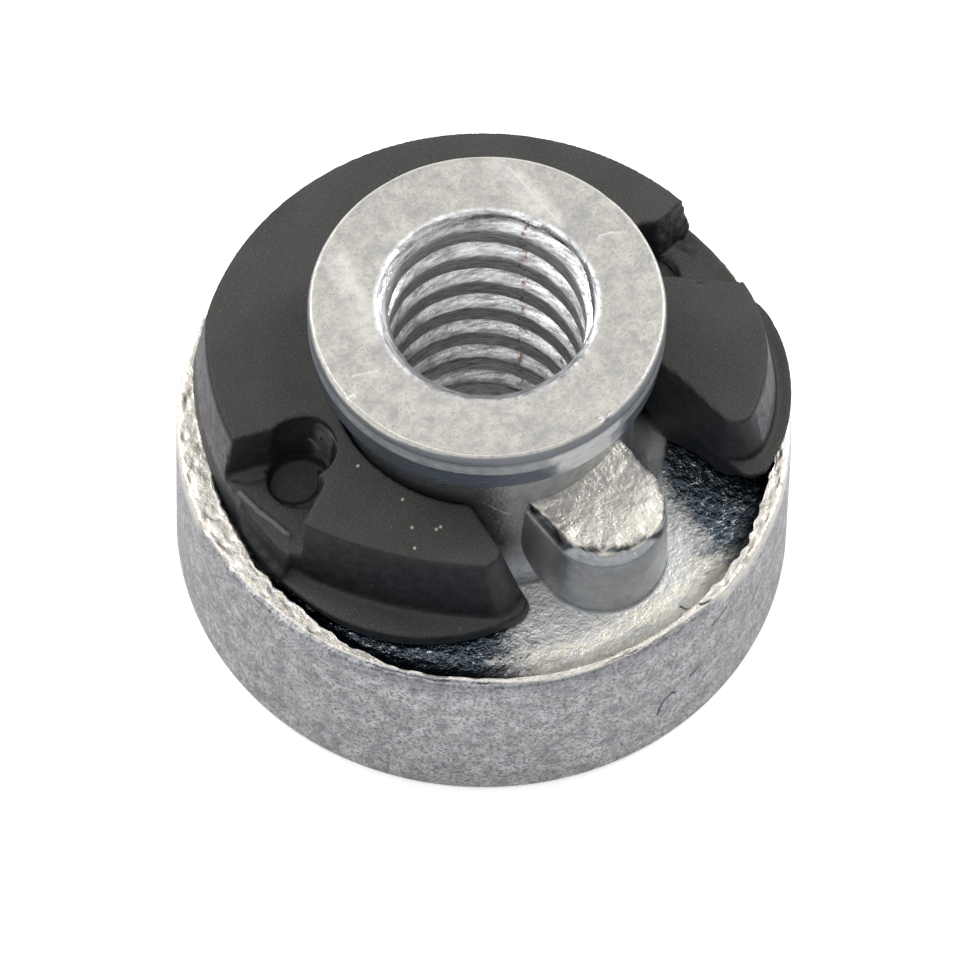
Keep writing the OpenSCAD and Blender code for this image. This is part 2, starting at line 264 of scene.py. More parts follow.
# Marks on the face, each through (radius, angle) places.
LONG_SCORE = ((4.27, 44), (3.13, 14))
RIGHT_PARTING = ((3.58, -2.5), (3.9, -4), (4.25, -7))
LEFT_PARTING = ((3.47, 177.5), (4.1, 174))
RUBS = [((4.28, 46), (3.04, 17)), ((4.06, 124), (3.05, 159))]
FACE_SCRATCHES = [
    # start and end, width, depth
    (LONG_SCORE[0], LONG_SCORE[-1], 0.25, 0.012),
    ((4.08, 124), (2.95, 158), 0.25, 0.012),
    (RIGHT_PARTING[0], RIGHT_PARTING[-1], 0.2, -0.012),
    (LEFT_PARTING[0], LEFT_PARTING[-1], 0.2, -0.012),
]


def near_line(points, start, end, width):
    """1 on the line between two (radius, angle) places, falling to 0 at a distance of width."""
    a, b = (on_axis(r, t, 0.0)[:2] for r, t in (start, end))
    length = b - a
    flat = points[..., :2] - a
    t = np.clip(flat @ length / (length @ length), 0, 1)
    away = np.linalg.norm(flat - t[..., None] * length, axis=-1)
    return 1 - smooth(0, width, away)


def on_face(places):
    """(radius, angle) places put at the height of the face's marks."""
    return stroke(*[(radius, angle, FACE_Z - 0.01) for radius, angle in places])


def near_path(points, width, *runs):
    """1 on lines through places in mm, falling to 0 at a distance of the width. For a piece from
    a to b: t = clip((p - a) . (b - a) / |b - a|^2), distance = |p - a - t (b - a)|."""
    gap = np.full(len(points), 9.0)
    for run in runs:
        for start, end in zip(run[:-1], run[1:]):
            length = np.array(end) - start
            away = points - start
            share = np.clip(away @ length / (length @ length), 0, 1)
            gap = np.minimum(gap, np.linalg.norm(away - share[:, None] * length, axis=1))
    return 1 - smooth(0.35 * width, width, gap)


def thread_section():
    """Places within a pitch, from 0 to 1, and the share of the thread's depth at each: a wide
    crest at 0, a straight flank each side and a narrow root, with rounded corners."""
    at = np.array([0, 0.09, 0.2, 0.235, 0.325, 0.415, 0.45, 0.525, 0.56, 0.65, 0.74, 0.775, 0.88])
    depth = np.array([0, 0, 0.005, 0.08, 0.49, 0.91, 1, 1, 0.91, 0.49, 0.08, 0.005, 0])
    return at, depth


def bore():
    """A strip that climbs one pitch a turn: z = p (i + u + a / 360), held between the two
    ends, where the thread runs out into the lead-in cones."""
    at, depth = thread_section()
    turns = np.arange(-1, math.ceil(FACE_Z / PITCH) + 1)
    climb = (turns[:, None] + at).ravel()[:, None]
    share = np.tile(depth, len(turns))[:, None]
    angle = 360 * np.arange(BORE_COLUMNS + 1)[None, :] / BORE_COLUMNS
    height = np.clip(PITCH * (climb + angle / 360), 0, FACE_Z)
    run_out = smooth(0, 0.5, height) * smooth(0, 0.32, FACE_Z - height)
    cone = CREST_R + np.maximum(0, LEAD_IN - np.minimum(height, FACE_Z - height))
    radius = np.maximum(CREST_R + (ROOT_R - CREST_R) * share * run_out, cone)
    points = on_axis(radius, angle, height)
    radius = radius + 0.012 * rough_noise(points, 0.5, 23) * run_out
    return on_axis(radius, angle, height), 1 - smooth(0, 0.3, share * run_out)


def lug_outline(offset, count=200):
    """A stadium that runs from the neck to a round tip, grown outwards by the offset, and how
    battered each place on it is: its points run down the right side, round the tip and back
    up the left one."""
    half = LUG_HALF_W + offset
    tip_at = LUG_REACH - LUG_HALF_W
    straight = tip_at - LUG_BACK
    length = 2 * straight + math.pi * LUG_HALF_W
    s = np.linspace(0, 1, count) * length
    turn = np.clip((s - straight) / LUG_HALF_W, 0, math.pi)
    down = np.clip(s, 0, straight) - np.clip(s - straight - math.pi * LUG_HALF_W, 0, straight)
    x = half * np.cos(turn)
    y = -LUG_BACK - down - half * np.sin(turn)
    return np.stack([x, y], -1), smooth(0.7, 2.3, turn) * (1 - 0.45 * smooth(2.7, 3.14, turn))


def round_tip(*places):
    """A line through (inset, turn, depth) places: at a turn about the tip's middle, in from the
    top's edge and down from the top."""
    inset, turn, depth = np.array(places).T
    reach = LUG_HALF_W - inset
    x = reach * np.cos(np.radians(turn))
    y = LUG_HALF_W - LUG_REACH - reach * np.sin(np.radians(turn))
    return list(np.stack([x, y, LUG_TOP - depth], -1))


def lug_rows():
    """Rings of the lug from below the dish up over its worn top: a concave fillet, drafted
    sides, a ledge under the battered tip, then rings that close on the middle."""
    fillet = np.linspace(0, 90, 5)
    z = [np.array([DISH_Z - 0.4]), DISH_Z + LUG_FILLET * (1 - np.cos(np.radians(fillet)))]
    out = [np.array([LUG_FILLET]), LUG_FILLET * (1 - np.sin(np.radians(fillet)))]
    z.append(np.linspace(DISH_Z + LUG_FILLET, LUG_TOP - 0.5, 10)[1:])
    out.append(np.zeros(9))
    top = np.array([[0.48, 0.04], [0.45, 0.13], [0.42, 0.24], [0.34, 0.34], [0.24, 0.34], [0.16, 0.25],
                    [0.10, 0.2], [0.05, 0.21], [0.015, 0.25], [0, 0.33]])
    z.append(LUG_TOP - top[:, 0])
    out.append(np.zeros(len(top)))
    tip_in = np.concatenate([np.zeros(1 + 5 + 9), top[:, 1]])
    z, out = np.concatenate(z), np.concatenate(out)
    draft = (LUG_TOP - np.maximum(z, DISH_Z)) * math.tan(math.radians(3))
    return z, out + draft, tip_in


def lug():
    """The lug's rings joined into one closed shell, with noise on the top and its edge."""
    z, out, tip_in = lug_rows()
    rings = []
    for height, offset, inset in zip(z, out, tip_in):
        grown, tip = lug_outline(offset)
        edge = on_ring(grown, height)
        wear = 1 + 0.5 * rough_noise(edge, 0.5, 31)
        pull = inset * (0.15 + 0.85 * tip) * wear
        away = grown - np.array([0.2, -4.6])
        away = away / np.linalg.norm(away, axis=1, keepdims=True)
        rings.append(on_ring(grown - away * pull[:, None], height))
    rim = rings[-1]
    middle = np.array([0.1, -4.7, LUG_TOP])
    for share in (0.9, 0.78, 0.64, 0.5, 0.36, 0.22, 0.1):
        ring = middle + share * (rim - middle)
        rings.append(ring)
    points = np.stack(rings)
    points[..., 0] *= 1 + 0.06 * smooth(0.3, 1.4, points[..., 0])
    # The top sags towards the tip and is dented, and its left edge stands up as a burr.
    top = smooth(LUG_TOP - 0.3, LUG_TOP - 0.02, points[..., 2])
    burr = bell(points[..., 0], -1.32, 0.25) * bell(points[..., 1], -4.9, 1.3)
    points[..., 2] += top * (-0.05 + 0.045 * np.minimum(rough_noise(points, 0.55, 37), 1) + 0.05 * burr)
    points[..., 2] -= top * 0.1 * smooth(-5.3, -6.4, points[..., 1])
    last = len(points) - 1
    count = points.shape[1]
    flat = points.reshape(-1, 3)
    flat = np.concatenate([flat, [flat[last * count:].mean(0), flat[:count].mean(0)]])
    quads = band_faces(last + 1, count, 0, False)
    j = np.arange(count)
    k = (j + 1) % count
    cap = np.stack([last * count + k, last * count + j, np.full(count, len(flat) - 2)], -1)
    foot = np.stack([j, k, np.full(count, len(flat) - 1)], -1)
    return flat, quads, np.concatenate([cap, foot])


def on_ring(outline, height):
    """An outline in the plane put at a height."""
    return np.column_stack([outline, np.full(len(outline), height)])


# The rim is burnished from its inner edge out to this radius at each angle.
WORN_TO = [
    (-180, 8.0), (-168, 7.95), (-160, 7.99), (-145, 7.94), (-137, 7.92), (-130, 7.93),
    (-118, 8.05), (-107, 8.08), (-95, 8.03), (-85, 8.05), (-76, 8.22), (-60, 8.25),
    (0, 8.25), (150, 8.25), (162, 8.2), (170, 8.1), (180, 8.0),
]


def dish_reflection_tones(points, radius, angle):
    """How dark and how cream each place of the dish is: dark, a painted reflection of the black fingers,
    beyond a ragged border before each finger, a_l = -122 and a_r(r), and cream along the rim between them."""
    ragged = 4 * rough_noise(points, 0.6, 61)
    left = 1 - smooth(18, 40, np.abs(turn_from(angle, -150)) + ragged)
    border = np.interp(radius, [4.7, 5.1, 5.6, 6.3, 7.0, 7.5], [-48, -56, -63, -68, -70, -68])
    right = smooth(-12, 10, angle - border + ragged) * (angle < 60)
    between = bell(turn_from(angle, -92), 0, 42)
    cream = smooth(6.5, 7.2, radius + 0.05 * ragged) * smooth(0, 0.4, between)
    return np.maximum(left, right), cream


def collar_painted_reflections(points, angle):
    """How dark the collar's side is painted: painted dark reflections of the black retainer as a line under
    its edge, a band below the mould line and its underside, broken by a painted light patch beside the lug."""
    z = points[:, 2]
    line = smooth(MOULD_LINE + 0.42, MOULD_LINE + 0.55, z)
    low = smooth(COLLAR_LOW - 0.02, COLLAR_LOW + 0.08, z) * (1 - smooth(MOULD_LINE, MOULD_LINE + 0.1, z))
    patch = bell(turn_from(angle + 4 * rough_noise(points, 0.8, 67), -94), 0, 18)
    under = 0.6 * (1 - smooth(COLLAR_LOW - 0.1, COLLAR_LOW, z))
    return np.maximum(line * 0.8, low * (1 - smooth(0, 0.25, patch))) + under


def make_casting():
    """Outside, bore and lug as one object. The marks say which part of the casting a vertex is."""
    outside, zones = casting_outside()
    inside, crests = bore()
    rows = len(outside)
    outer = outside.reshape(-1, 3)
    inner = inside.reshape(-1, 3)
    first = len(outer)
    columns = BORE_COLUMNS + 1
    i, j = np.meshgrid(np.arange(inside.shape[0] - 1), np.arange(BORE_COLUMNS), indexing="ij")
    a = first + i * columns + j
    strip = np.stack([a, a + columns, a + columns + 1, a + 1], -1).reshape(-1, 4)
    mouth = on_axis(CREST_R + LEAD_IN, 360 * np.arange(BORE_COLUMNS) / BORE_COLUMNS, FACE_Z)
    foot = on_axis(CREST_R + LEAD_IN, 360 * np.arange(BORE_COLUMNS) / BORE_COLUMNS, 0.0)
    body = np.concatenate([outer, inner, mouth, foot])
    mouth_first = first + len(inner)
    foot_first = mouth_first + BORE_COLUMNS
    join = np.concatenate([
        join_faces((rows - 1) * OUTER_COLUMNS, mouth_first, BORE_COLUMNS, True),
        join_faces(0, foot_first, BORE_COLUMNS, False)])
    lug_points, lug_quads, lug_triangles = lug()
    points = np.concatenate([body, lug_points])
    quads = np.concatenate([band_faces(rows, OUTER_COLUMNS), strip, lug_quads + len(body)])
    triangles = np.concatenate([join, lug_triangles + len(body)])
    zone_of = np.concatenate([
        np.repeat(zones, OUTER_COLUMNS), np.full(len(inner), "bore"),
        np.full(BORE_COLUMNS, "face"), np.full(BORE_COLUMNS, "foot"), np.full(len(lug_points), "lug")])
    bore_angle = np.degrees(np.arctan2(inner[:, 1], inner[:, 0]))
    seam = np.zeros(len(points))
    seam[first:first + len(inner)] = bell(turn_from(bore_angle, SEAM_AT), 0, 4)
    crest = np.zeros(len(points))
    crest[first:first + len(inner)] = crests.ravel()
    radius = np.hypot(points[:, 0], points[:, 1])
    angle = np.degrees(np.arctan2(points[:, 1], points[:, 0]))
    worn_to = along(angle, WORN_TO)
    rim_worn = (zone_of == "rim") * (1 - smooth(worn_to - 0.02, worn_to + 0.07, radius))
    lug_side = (zone_of == "lug") * (1 - smooth(LUG_TOP - 0.5, LUG_TOP - 0.35, points[:, 2]))
    # The dish's dark is a painted reflection of the retainer's black fingers.
    dark, cream = dish_reflection_tones(points, radius, angle)
    in_dish = np.isin(zone_of, ["wall", "dish"]) * 1.0
    dark = in_dish * dark
    dull = bell(turn_from(angle, -122), 0, 50)
    # The collar bevel's top is paler, partly wear and partly a painted highlight reaching further down on
    # the left; below it the bevel is painted dark as shade.
    left_edge = bell(turn_from(angle, -175), 0, 40)
    bevel_highlight = smooth(FACE_Z - 0.10, FACE_Z - 0.02, points[:, 2] + 0.12 * left_edge)
    # The band mark is painted dark reflection on the collar, painted shade on the bevel's lower part and
    # the lug's sides, and the darker unworn rim at the front.
    band = (zone_of == "collar") * collar_painted_reflections(points, angle)
    dull = (zone_of == "rim") * (1 - smooth(0, 0.3, rim_worn)) * smooth(0, 0.3, dull)
    band = band + 0.3 * dull
    # Painted light: the lug's left side, a patch on the collar beside the lug and the neck's foot.
    facing_left = smooth(-1.3, -1.5, points[:, 0]) * smooth(-5.4, -4.7, points[:, 1])
    mottle = rough_noise(points, 0.5, 71)
    patch = (zone_of == "collar") * smooth(0, 0.6, bell(turn_from(angle + 5 * mottle, -94), 0, 17))
    patch = patch * (0.85 + 0.15 * mottle)
    neck_foot = (zone_of == "neck") * bell(turn_from(angle, -43), 0, 16)
    band = band + (zone_of == "edge") * (1 - bevel_highlight) * 0.8 + 0.3 * lug_side * (1 - facing_left)
    lug_top = (zone_of == "lug") * smooth(LUG_TOP - 0.35, LUG_TOP - 0.15, points[:, 2])
    # The lug's lines are painted shade: along its right edge, under the battered tip's edge and in the
    # crevice at its left side.
    edges = np.maximum(near_path(points, 0.13, TIP_LINE, RIGHT_LINE), near_path(points, 0.19, CREVICE))
    marks = {
        "line": (zone_of == "lug") * edges,
        "ridge": near_path(points, 0.22, NECK_RIDGE),
        "rub": (zone_of == "face") * near_path(points, 0.45, *map(on_face, RUBS)),
        # The worn mark is wear on the rim and the lug's top, and a painted highlight on the collar bevel's
        # top.
        "worn": rim_worn + 0.8 * (zone_of == "edge") * bevel_highlight + lug_top,
        "face": (zone_of == "face") * 1.0,
        "dish": in_dish,
        # Painted reflection of the black fingers in the dish.
        "dark": dark,
        "cream": in_dish * cream,
        # The lit mark is painted light. The neck, collar and lug sides are an as-cast surface painted
        # darker as the black retainer's reflection and as shade.
        "lit": 0.45 * lug_side * facing_left + 0.6 * patch + 0.6 * neck_foot,
        "skin_painted_dark": np.isin(zone_of, ["neck", "collar"]) * 1.0 + lug_side,
        "band": band,
        "bore": (zone_of == "bore") * 1.0,
        "side": (zone_of == "side") + (zone_of == "rim") * (1 - rim_worn),
        "seam": seam,
        "crest": crest,
    }
    return make_object("casting", points, quads, triangles, marks)


# ---- Retainer ----
def make_retainer():
    """A merged copy of the moulding's solid, cut into even cells so that its edges round over
    and so that tears, pits and the scooped pocket can be pressed into it."""
    piece = bpy.data.objects.new("retainer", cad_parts["retainer_ring"].data.copy())
    bpy.context.collection.objects.link(piece)
    merged = bmesh.new()
    merged.from_mesh(piece.data)
    bmesh.ops.remove_doubles(merged, verts=merged.verts, dist=1e-3 * MM)
    merged.to_mesh(piece.data)
    merged.free()
    cells = piece.modifiers.new("cells", "REMESH")
    cells.mode = "VOXEL"
    cells.voxel_size = RING_CELL * MM
    cells.use_smooth_shade = True
    soften = piece.modifiers.new("soften", "SMOOTH")
    soften.factor, soften.iterations = 0.5, 3
    shape = piece.evaluated_get(bpy.context.evaluated_depsgraph_get())
    piece.data = bpy.data.meshes.new_from_object(shape)
    piece.modifiers.clear()
    mesh = piece.data
    flat = np.empty(len(mesh.vertices) * 3, np.float32)
    mesh.vertices.foreach_get("co", flat)
    points = flat.reshape(-1, 3).astype(float) / MM
    points = wear_retainer(points)
    mesh.vertices.foreach_set("co", (points * MM).astype(np.float32).ravel())
    mesh.update()
    normals = np.empty(len(mesh.vertices) * 3, np.float32)
    mesh.vertex_normals.foreach_get("vector", normals)
    normals = normals.reshape(-1, 3)
    radius = np.hypot(points[:, 0], points[:, 1])
    angle = np.degrees(np.arctan2(points[:, 1], points[:, 0]))
    outward = (normals[:, :2] * points[:, :2]).sum(1) / radius
    marks = {
        # The top mark sets the top apart from the upright faces, which are painted darker as shade; the
        # flank mark is where a pale painted sheen goes.
        "top": smooth(0.7, 0.95, normals[:, 2]),
        "flank": smooth(0.5, 0.8, outward) * (np.abs(turn_from(angle, 60)) < 107)
        * smooth(5.8, 6.1, points[:, 2]) * (1 - smooth(7.45, 7.62, points[:, 2])),
    }
    for mark, values in marks.items():
        mesh.attributes.new(mark, "FLOAT", "POINT").data.foreach_set("value", values.astype(np.float32))
    return piece


# The line of flash, as (radius, angle) places, and the right flange's reach at each angle.
FLASH = [(7.0, 165), (6.8, 171), (6.65, 175), (6.55, 179.5)]
FLANGE_REACH = [
    (-22, 8.3), (-20, 8.27), (-16.5, 8.23), (-14, 8.15), (-11, 7.96), (-7, 7.86), (-3, 7.95),
]


def wear_retainer(points):
    """Moves the moulding's points, each move a smooth weight times a shift: fills the right
    pocket, shapes both flanges' starts, raises the line of flash, tears the right notch, opens
    the left pocket's mouth and leans the right finger's tip."""
    radius = np.hypot(points[:, 0], points[:, 1])
    angle = np.degrees(np.arctan2(points[:, 1], points[:, 0]))
    rough = rough_noise(points, 0.3, 41)
    out = points.copy()
    # The right pocket is smeared almost shut.
    smeared = np.hypot(*(points[:, :2] - on_axis(*RIGHT_POCKET_AT, 0.0)[:2]).T) < RIGHT_POCKET_R
    smeared = smeared & (points[:, 2] > RING_POCKET_Z - 0.1) & (points[:, 2] < RING_NOTCH_Z + 0.02)
    out[:, 2] += smeared * 0.86 * (RING_NOTCH_Z - points[:, 2])
    # The right flange starts low at the notch and swells outwards along the finger.
    reach = along(angle, FLANGE_REACH)
    at_flange = (angle > -22) & (angle < -3) & (points[:, 2] < 5.95) & (points[:, 2] > 5.2)
    shrink = np.where(at_flange & (radius > reach), reach / radius, 1.0)
    out[:, :2] *= shrink[:, None]
    # The left flange begins as a narrow ledge beside the notch.
    round_angle = angle % 360
    ledge = smooth(167, 172, round_angle) * (1 - smooth(180, 190, round_angle))
    ledge_z = np.interp(round_angle, [170, 190], [5.62, 5.2])
    ledge = ledge * smooth(4.9, 5.1, points[:, 2]) * (radius > 6.6)
    ledge = ledge * (1 - smooth(0, 0.1, points[:, 2] - ledge_z))
    out[:, :2] *= (1 + ledge * np.clip(7.3 - radius, 0, 0.3) / radius)[:, None]
    # A line of flash stands up along the left notch's outer edge.
    for start, end in zip(FLASH[:-1], FLASH[1:]):
        ridge = near_line(points, start, end, 0.13) * bell(points[:, 2], RING_NOTCH_Z, 0.3)
        out[:, 2] = np.maximum(out[:, 2], points[:, 2] + 0.09 * ridge)
    # The right notch's floor climbs towards the neck, and its back wall is torn into lumps.
    in_right = bell(turn_from(angle, RIGHT_NOTCH_AT), 0, 22) > 0
    floor = in_right * smooth(RING_NOTCH_Z - 0.5, RING_NOTCH_Z, points[:, 2])
    floor = floor * (1 - smooth(RING_NOTCH_Z + 0.05, RING_NOTCH_Z + 0.5, points[:, 2]))
    climb = 0.3 * (1 - smooth(5.6, 7.6, radius)) * bell(turn_from(angle, -3), 0, 16)
    out[:, 2] += (1 - smeared) * floor * climb
    torn = bell(turn_from(angle, 5.5), 0, 4) * smooth(6.3, 6.7, radius)
    torn = torn * (1 - 0.7 * smooth(6.7, 7.5, points[:, 2]))
    torn = torn * smooth(RING_NOTCH_Z - 0.2, RING_NOTCH_Z + 0.2, points[:, 2])
    out[:, 2] += torn * 0.12 * rough
    slope = torn * (1 - smooth(RING_NOTCH_Z, RING_TOP, points[:, 2]))
    tangent = np.stack([np.sin(np.radians(angle)), -np.cos(np.radians(angle))], -1)
    out[:, :2] += tangent * (slope * 0.22 + torn * 0.07 * rough_noise(points, 0.22, 43))[:, None]
    # The left pocket's mouth is drawn out towards the neck.
    pocket = on_axis(*LEFT_POCKET_AT, 0.0)[:2]
    away = points[:, :2] - pocket
    distance = np.linalg.norm(away, axis=1)
    towards_neck = smooth(-0.2, 0.6, away @ np.array([0.8, -0.6]) / np.maximum(distance, 0.1))
    mouth = bell(distance, LEFT_POCKET_R, 0.16) * smooth(RING_POCKET_Z + 0.6, RING_TOP, points[:, 2])
    out[:, :2] += away / np.maximum(distance, 0.1)[:, None] * (0.12 * mouth * towards_neck)[:, None]
    # The right finger's tip reaches further at its top than at its foot.
    tip = smooth(-40, -50, angle) * (angle > -80)
    reach = 0.30 * (1 - smooth(5.2, 6.2, points[:, 2])) - 0.14 * smooth(6.4, RING_TOP, points[:, 2])
    out[:, :2] -= tangent * (tip * reach)[:, None]
    # The torn lines are grooves.
    out[:, 2] -= 0.05 * near_path(points, 0.14, *TEARS, STEP)
    # Everything is very slightly uneven.
    out[:, 2] += 0.006 * rough_noise(points, 0.9, 47)
    return out


# ---- Materials ----
class Nodes:
    """A short way to lay out one material's nodes."""

    def __init__(self, name):
        """A new material with its shader and the place of each point."""
        self.material = bpy.data.materials.new(name)
        self.material.use_nodes = True
        self.tree = self.material.node_tree
        self.shader = self.tree.nodes["Principled BSDF"]
        self.place = self.tree.nodes.new("ShaderNodeTexCoord").outputs["Object"]

    def link(self, value, socket):
        """Joins an output to a socket, or sets a constant on it."""
        if hasattr(value, "is_linked"):
            self.tree.links.new(value, socket)
        else:
            socket.default_value = value

    def mark(self, name):
        """The value that the mesh keeps under a name."""
        node = self.tree.nodes.new("ShaderNodeAttribute")
        node.attribute_name = name
        return node.outputs["Fac"]

    def noise(self, size_mm, detail=3, rough=0.55, stretch=(1, 1, 1)):
        """Noise with features of about the given size."""
        node = self.tree.nodes.new("ShaderNodeTexNoise")
        node.inputs["Scale"].default_value = 1 / (size_mm * MM)
        node.inputs["Detail"].default_value = detail
        node.inputs["Roughness"].default_value = rough
        place = self.place
        if stretch != (1, 1, 1):
            scale = self.tree.nodes.new("ShaderNodeMapping")
            scale.inputs["Scale"].default_value = stretch
            self.link(place, scale.inputs["Vector"])
            place = scale.outputs["Vector"]
        self.link(place, node.inputs["Vector"])
        return node.outputs["Fac"]

    def spots(self, size_mm, part):
        """Round spots, one in each cell of the given size, as the distance from their middle."""
        node = self.tree.nodes.new("ShaderNodeTexVoronoi")
        node.inputs["Scale"].default_value = 1 / (size_mm * MM)
        self.link(self.place, node.inputs["Vector"])
        return node.outputs[part]

    def ramp(self, value, low, high, start=0.0, end=1.0):
        """Maps low..high to start..end, held at the ends."""
        node = self.tree.nodes.new("ShaderNodeMapRange")
        self.link(value, node.inputs["Value"])
        for socket, number in zip(("From Min", "From Max", "To Min", "To Max"), (low, high, start, end)):
            node.inputs[socket].default_value = number
        return node.outputs["Result"]

    def sum(self, kind, a, b):
        """One arithmetic step."""
        node = self.tree.nodes.new("ShaderNodeMath")
        node.operation = kind
        self.link(a, node.inputs[0])
        self.link(b, node.inputs[1])
        return node.outputs[0]

    def vector(self, kind, a, b=None):
        """One step of vector arithmetic."""
        node = self.tree.nodes.new("ShaderNodeVectorMath")
        node.operation = kind
        self.link(a, node.inputs[0])
        if b is not None:
            self.link(b, node.inputs["Scale"] if kind == "SCALE" else node.inputs[1])
        return node.outputs["Value" if kind in ("DOT_PRODUCT", "LENGTH") else "Vector"]

    def shaky(self, size_mm, shift_mm):
        """The place, shifted a little by noise so that lines drawn on it waver."""
        node = self.tree.nodes.new("ShaderNodeTexNoise")
        node.inputs["Scale"].default_value = 1 / (size_mm * MM)
        self.link(self.place, node.inputs["Vector"])
        shift = self.vector("SUBTRACT", node.outputs["Color"], (0.5, 0.5, 0.5))
        return self.vector("ADD", self.place, self.vector("SCALE", shift, 2 * shift_mm * MM))

    def lines(self, place, width_mm, *runs):
        """1 on lines through places in mm, falling to 0 at a distance of the width. For a piece
        from a to b: t = clip((p - a) . (b - a) / |b - a|^2), distance = |p - a - t (b - a)|."""
        nearest = None
        for run in runs:
            for start, end in zip(run[:-1], run[1:]):
                a, b = np.array(start) * MM, np.array(end) * MM
                length = tuple(b - a)
                away = self.vector("SUBTRACT", place, tuple(a))
                share = self.vector("DOT_PRODUCT", away, length)
                share = self.sum("MULTIPLY", share, 1 / ((b - a) @ (b - a)))
                share.node.use_clamp = True
                gap = self.vector("SUBTRACT", away, self.vector("SCALE", length, share))
                gap = self.vector("LENGTH", gap)
                nearest = gap if nearest is None else self.sum("MINIMUM", nearest, gap)
        return self.ramp(nearest, 0.35 * width_mm * MM, width_mm * MM, 1, 0)

    def blend(self, factor, a, b):
        """A colour between a and b."""
        node = self.tree.nodes.new("ShaderNodeMix")
        node.data_type = "RGBA"
        self.link(factor, node.inputs[0])
        self.link(a if hasattr(a, "is_linked") else (*a, 1), node.inputs[6])
        self.link(b if hasattr(b, "is_linked") else (*b, 1), node.inputs[7])
        return node.outputs[2]

    def bump(self, height, depth_mm, under=None):
        """A bump of the given depth, on top of another one."""
        node = self.tree.nodes.new("ShaderNodeBump")
        node.inputs["Distance"].default_value = depth_mm * MM
        self.link(height, node.inputs["Height"])
        if under is not None:
            self.link(under, node.inputs["Normal"])
        return node.outputs["Normal"]

    def finish(self, colour, metallic, roughness, normal, specular=0.5):
        """Sets the shader's main inputs."""
        self.link(colour, self.shader.inputs["Base Color"])
        self.link(metallic, self.shader.inputs["Metallic"])
        self.link(roughness, self.shader.inputs["Roughness"])
        self.link(normal, self.shader.inputs["Normal"])
        self.shader.inputs["Specular IOR Level"].default_value = specular
        return self.material


def on_side(*places):
    """A line through (angle, height) places on the side: r = FOOT_R + (RIM_R - FOOT_R) z / RIM_H."""
    return stroke(*[(FOOT_R + (RIM_R - FOOT_R) * z / RIM_H, angle, z) for angle, z in places])


# Dark lines on the casting: cracks in its side, a chip in its rim, and painted shade along the edges of the
# lug's top and in the crevice beside it.
CRACKS = [
    on_side((-94.5, 1.55), (-94, 1.9), (-93, 2.15), (-91.5, 2.3), (-90.5, 2.15)),
    on_side((-87, 2.45), (-85, 2.6)),
    on_side((-68.5, 2.9), (-67.5, 3.0), (-66.5, 3.25)),
    on_side((-81.5, 4.2), (-77.5, 4.4)),
]
CHIP = stroke((7.45, -85, 4.85), (7.7, -85, 5.0), (8.0, -83.5, RIM_H), (8.1, -81.5, RIM_H))
CREVICE_X = 0.1 - LUG_HALF_W
CREVICE = [(CREVICE_X, -3.6, 7.3), (CREVICE_X, -3.8, 7.1), (CREVICE_X, -5.1, 7.05)]
TIP_LINE = round_tip((0.1, 174, 0.4), (0.2, 154, 0.15), (0.25, 135, 0.12), (0.24, 105, 0.19),
                     (0.22, 82, 0.14), (0.04, 64, 0.43), (-0.03, 52, 0.58))
RIGHT_LINE = [(LUG_HALF_W, -3.5, LUG_TOP - 0.03),
              *round_tip((0, 0, 0.03), (0.02, 15, 0.05), (0, 35, 0.1), (0, 50, 0.25))]

# Pale lines: a thread of flash on the neck, a ridge at its foot, scores and a curl of swarf.
NECK_FLASH = stroke((3.95, -129.5, 7.7), (3.95, -120.5, 7.05), (4.15, -112.5, 6.85))
NECK_RIDGE = stroke((4.5, -36, 4.83), (4.6, -39, 4.81), (4.6, -44.5, 4.81), (4.5, -49, 4.83))
SCORES = [on_face(score) for score in (LONG_SCORE, RIGHT_PARTING, LEFT_PARTING)]
CURL = stroke((5.6, -49, DISH_Z), (5.85, -50.5, DISH_Z), (5.95, -53.5, DISH_Z), (5.75, -55.5, DISH_Z))


